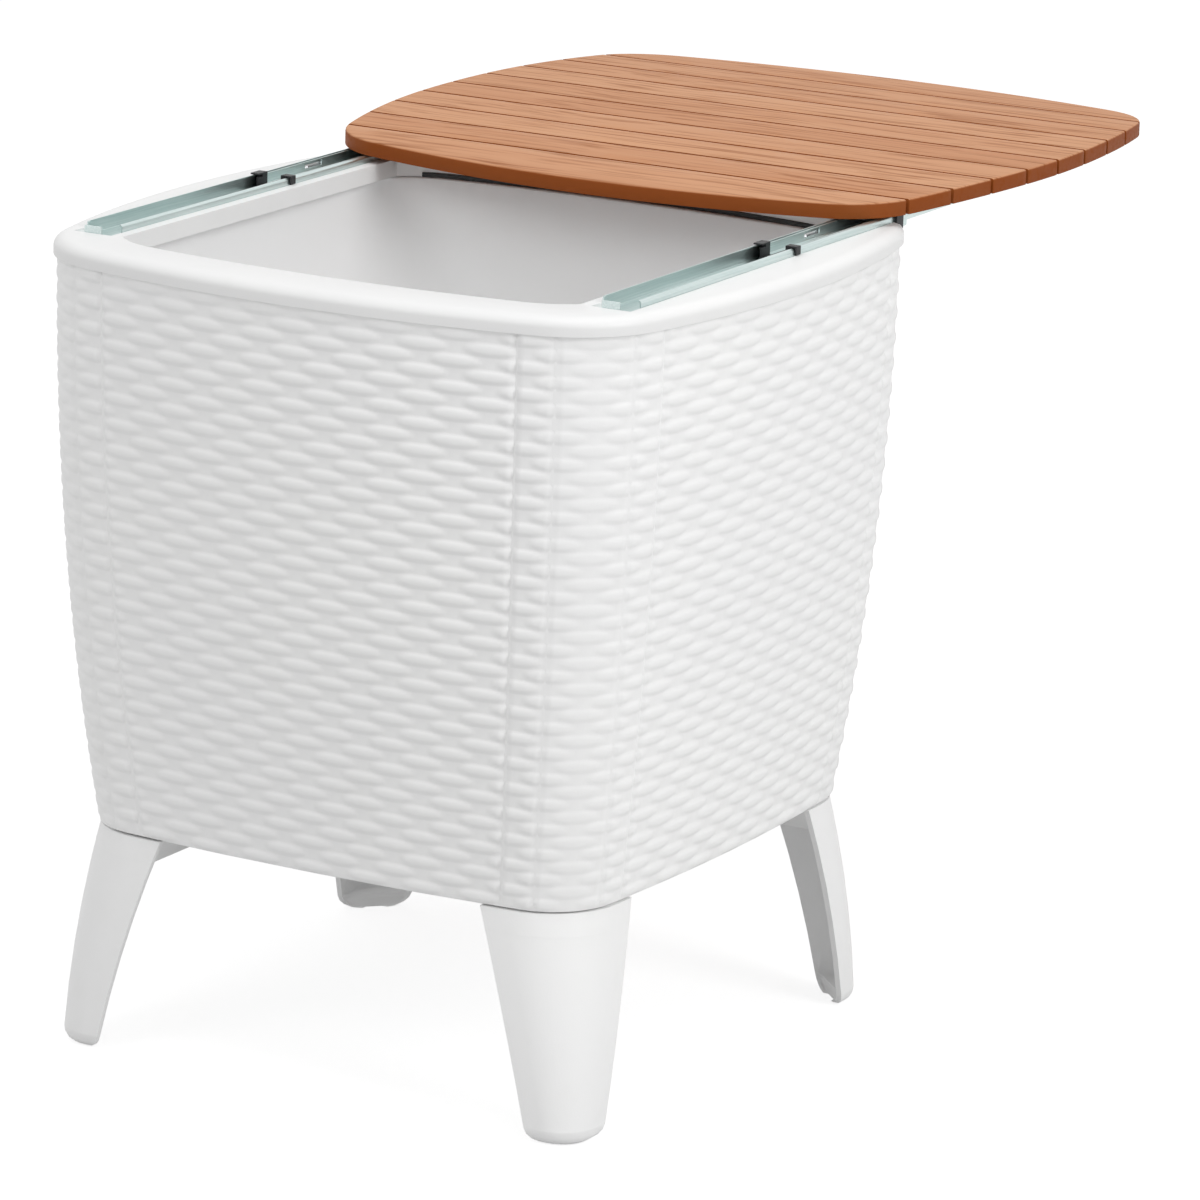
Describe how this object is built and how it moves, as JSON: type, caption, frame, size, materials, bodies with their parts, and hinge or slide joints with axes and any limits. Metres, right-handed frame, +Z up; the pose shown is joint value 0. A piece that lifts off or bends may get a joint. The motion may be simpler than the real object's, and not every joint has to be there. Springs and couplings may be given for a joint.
{
  "type": "ice bucket coffee table",
  "caption": "White woven-look ice bucket on four legs, with a grooved brown table top that slides open on ball slides.",
  "frame": {"origin": "on the floor, under the middle of the open table's bounding box", "axes": "+Z up, +X to the right seen from the front, +Y to the back, the way the top slides open"},
  "size_m": [0.4948, 0.8634, 0.5772],
  "materials": {
    "white_plastic": "moulded, woven relief on the casing",
    "brown_plastic": "wood-look, fine grain",
    "zinc_steel": "zinc plated",
    "bright_steel": "bright",
    "black_plastic": "matte",
    "black_rubber": "matte",
    "grey_plastic": "matte"
  },
  "bodies": {
    "bucket": {"outer_shell": "white_plastic", "inner_tub": "white_plastic", "rim_frame": "white_plastic", "drain_spout": "white_plastic", "leg_front_left": "white_plastic", "leg_screw_front_left_1": "bright_steel", "leg_screw_front_left_2": "bright_steel", "leg_front_right": "white_plastic", "leg_screw_front_right_1": "bright_steel", "leg_screw_front_right_2": "bright_steel", "leg_back_left": "white_plastic", "leg_screw_back_left_1": "bright_steel", "leg_screw_back_left_2": "bright_steel", "leg_back_right": "white_plastic", "leg_screw_back_right_1": "bright_steel", "leg_screw_back_right_2": "bright_steel", "left_outer_channel": "zinc_steel", "left_bed_screw_1": "bright_steel", "left_bed_screw_2": "bright_steel", "right_outer_channel": "zinc_steel", "right_bed_screw_1": "bright_steel", "right_bed_screw_2": "bright_steel", "drain_gasket": "black_rubber"},
    "top": {"table_top": "brown_plastic", "left_top_screw_1": "bright_steel", "left_top_screw_2": "bright_steel", "left_inner_channel": "zinc_steel", "left_inner_bumper": "black_plastic", "left_top_spacer": "grey_plastic", "right_top_screw_1": "bright_steel", "right_top_screw_2": "bright_steel", "right_inner_channel": "zinc_steel", "right_inner_bumper": "black_plastic", "right_top_spacer": "grey_plastic"},
    "left_middle": {"left_middle_channel": "zinc_steel", "left_middle_bumper": "black_plastic"},
    "left_lower_cage": {"left_lower_ball_cage": "bright_steel"},
    "left_upper_cage": {"left_upper_ball_cage": "bright_steel"},
    "right_middle": {"right_middle_channel": "zinc_steel", "right_middle_bumper": "black_plastic"},
    "right_lower_cage": {"right_lower_ball_cage": "bright_steel"},
    "right_upper_cage": {"right_upper_ball_cage": "bright_steel"},
    "drain_cap": {"drain_cap": "white_plastic"}
  },
  "joints": [
    {"name": "top_slide", "type": "slide", "parent": "bucket", "child": "top", "axis": [0, 1, 0], "range_m": [-0.371, 0]},
    {"name": "left_middle_slide", "type": "slide", "parent": "bucket", "child": "left_middle", "axis": [0, 1, 0], "range_m": [-0.1855, 0]},
    {"name": "left_lower_cage_slide", "type": "slide", "parent": "bucket", "child": "left_lower_cage", "axis": [0, 1, 0], "range_m": [-0.09275, 0]},
    {"name": "left_upper_cage_slide", "type": "slide", "parent": "bucket", "child": "left_upper_cage", "axis": [0, 1, 0], "range_m": [-0.27825, 0]},
    {"name": "right_middle_slide", "type": "slide", "parent": "bucket", "child": "right_middle", "axis": [0, 1, 0], "range_m": [-0.1855, 0]},
    {"name": "right_lower_cage_slide", "type": "slide", "parent": "bucket", "child": "right_lower_cage", "axis": [0, 1, 0], "range_m": [-0.09275, 0]},
    {"name": "right_upper_cage_slide", "type": "slide", "parent": "bucket", "child": "right_upper_cage", "axis": [0, 1, 0], "range_m": [-0.27825, 0]},
    {"name": "drain_cap_slide", "type": "slide", "parent": "bucket", "child": "drain_cap", "axis": [0, 0, -1], "range_m": [0, 0.03]}
  ],
  "couplings": [
    {"joint": "left_middle_slide", "follows": "top_slide", "ratio": 0.5},
    {"joint": "left_lower_cage_slide", "follows": "top_slide", "ratio": 0.25},
    {"joint": "left_upper_cage_slide", "follows": "top_slide", "ratio": 0.75},
    {"joint": "right_middle_slide", "follows": "top_slide", "ratio": 0.5},
    {"joint": "right_lower_cage_slide", "follows": "top_slide", "ratio": 0.25},
    {"joint": "right_upper_cage_slide", "follows": "top_slide", "ratio": 0.75}
  ]
}
